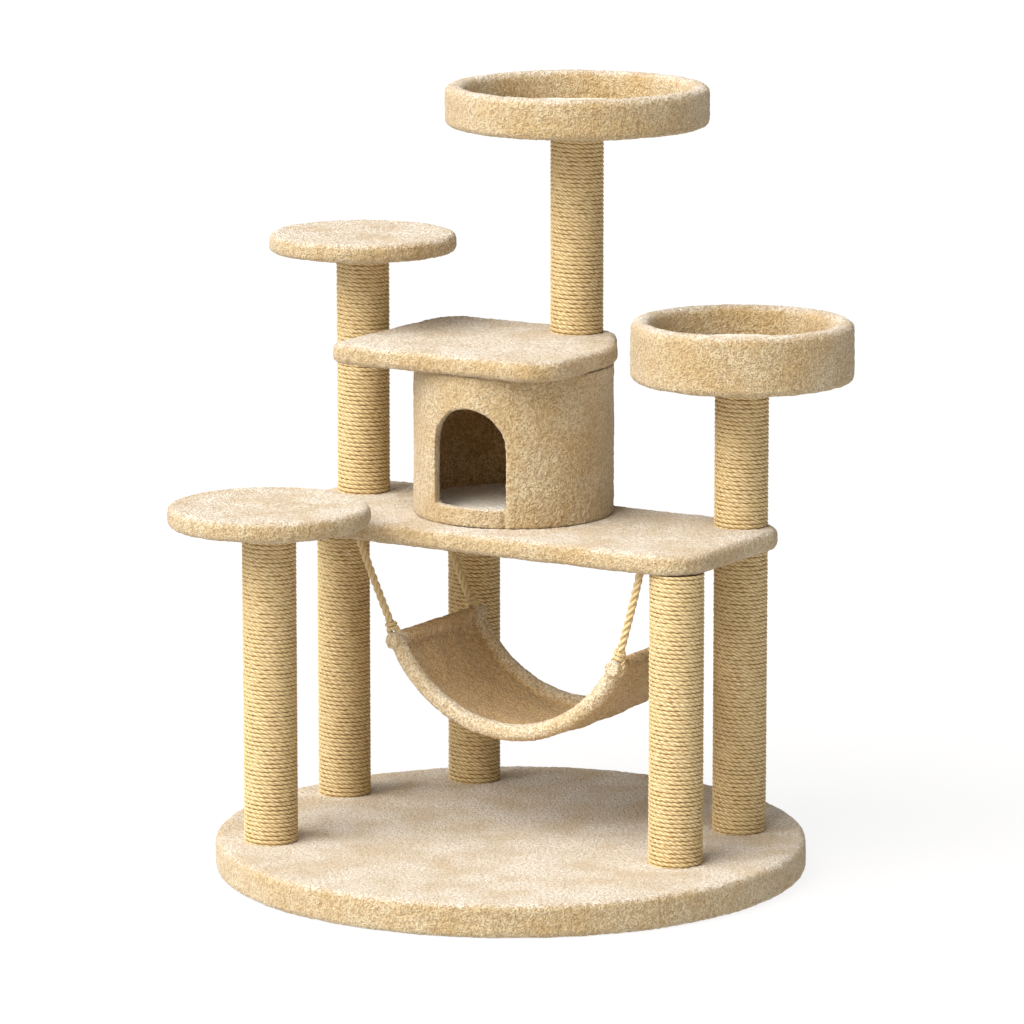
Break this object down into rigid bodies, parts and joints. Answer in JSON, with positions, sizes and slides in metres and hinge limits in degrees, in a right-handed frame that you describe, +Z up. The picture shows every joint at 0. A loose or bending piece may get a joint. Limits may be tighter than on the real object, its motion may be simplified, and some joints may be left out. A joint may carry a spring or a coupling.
{
  "type": "cat tree",
  "caption": "Free-standing cat tree: round base, sisal posts, carpeted shelf, perches and house with an arched doorway, round beds, and a plush hammock that swings on ropes.",
  "frame": {"origin": "centre of the base's underside, on the floor", "axes": "+Z up, front of the tree towards -Y, the side bed towards +X"},
  "size_m": [1, 0.87, 1.132],
  "materials": {
    "carpet_plush": "short cream plush carpet, soft and matte",
    "sisal_rope": "natural sisal rope wound side by side, matte",
    "cushion_plush": "light cream plush, soft and matte",
    "lining_plush": "cream plush lining, soft and matte",
    "hammock_plush": "beige plush cloth, soft and matte",
    "twisted_rope": "three-strand twisted rope, matte",
    "particle_board": "bare particle board",
    "laminated_paperboard": "wound and laminated paperboard",
    "paper_tube": "wound paper tube",
    "beech": "turned beech",
    "zinc_steel": "zinc-plated steel"
  },
  "bodies": {
    "tower": {"back_left_post_sisal": "sisal_rope", "back_left_post_tube": "paper_tube", "back_right_post_sisal": "sisal_rope", "back_right_post_tube": "paper_tube", "base_board": "particle_board", "base_bolts": "zinc_steel", "base_carpet": "carpet_plush", "base_washers": "zinc_steel", "front_left_post_sisal": "sisal_rope", "front_left_post_tube": "paper_tube", "front_right_post_sisal": "sisal_rope", "front_right_post_tube": "paper_tube", "high_perch_board": "particle_board", "high_perch_carpet": "carpet_plush", "house_carpet": "carpet_plush", "house_ceiling": "particle_board", "house_floor": "particle_board", "house_floor_carpet": "cushion_plush", "house_lining": "lining_plush", "house_screws": "zinc_steel", "house_tube": "laminated_paperboard", "joining_stud": "zinc_steel", "low_perch_board": "particle_board", "low_perch_carpet": "carpet_plush", "platform_bolts": "zinc_steel", "post_plugs": "beech", "rear_post_sisal": "sisal_rope", "rear_post_tube": "paper_tube", "roof_board": "particle_board", "roof_carpet": "carpet_plush", "rope_stop_knots": "twisted_rope", "shelf_board": "particle_board", "shelf_carpet": "carpet_plush", "side_bed_board": "particle_board", "side_bed_carpet": "carpet_plush", "side_bed_cushion": "cushion_plush", "side_bed_rim": "laminated_paperboard", "threaded_inserts": "zinc_steel", "top_bed_board": "particle_board", "top_bed_carpet": "carpet_plush", "top_bed_cushion": "cushion_plush", "top_bed_rim": "laminated_paperboard", "top_post_sisal": "sisal_rope", "top_post_tube": "paper_tube", "upper_left_post_sisal": "sisal_rope", "upper_left_post_tube": "paper_tube", "upper_right_post_sisal": "sisal_rope", "upper_right_post_tube": "paper_tube"},
    "rope_front_left": {"front_left_rope": "twisted_rope"},
    "rope_back_left": {"back_left_rope": "twisted_rope"},
    "rope_front_right": {"front_right_rope": "twisted_rope"},
    "rope_back_right": {"back_right_rope": "twisted_rope"},
    "hammock": {"hammock_cloth": "hammock_plush", "hammock_rods": "beech", "rope_loops": "twisted_rope"}
  },
  "joints": [
    {"name": "hammock_swing", "type": "hinge", "parent": "tower", "child": "rope_front_left", "pos_m": [-0.22493, 0.08271, 0.4717], "axis": [0.8526, -0.5225, 0], "range_deg": [-20, 20]},
    {"name": "back_left_rope_swing", "type": "hinge", "parent": "tower", "child": "rope_back_left", "pos_m": [-0.10998, 0.27029, 0.4717], "axis": [0.8526, -0.5225, 0], "range_deg": [-20, 20]},
    {"name": "front_right_rope_swing", "type": "hinge", "parent": "tower", "child": "rope_front_right", "pos_m": [0.18655, -0.16944, 0.4717], "axis": [0.8526, -0.5225, 0], "range_deg": [-20, 20]},
    {"name": "back_right_rope_swing", "type": "hinge", "parent": "tower", "child": "rope_back_right", "pos_m": [0.27388, 0.03506, 0.4717], "axis": [0.8526, -0.5225, 0], "range_deg": [-20, 20]},
    {"name": "hammock_level", "type": "hinge", "parent": "rope_front_left", "child": "hammock", "pos_m": [-0.1776, 0.05371, 0.3543], "axis": [0.8526, -0.5225, 0], "range_deg": [-20, 20]}
  ],
  "couplings": [
    {"joint": "back_left_rope_swing", "follows": "hammock_swing", "ratio": 1},
    {"joint": "front_right_rope_swing", "follows": "hammock_swing", "ratio": 1},
    {"joint": "back_right_rope_swing", "follows": "hammock_swing", "ratio": 1},
    {"joint": "hammock_level", "follows": "hammock_swing", "ratio": -1}
  ]
}
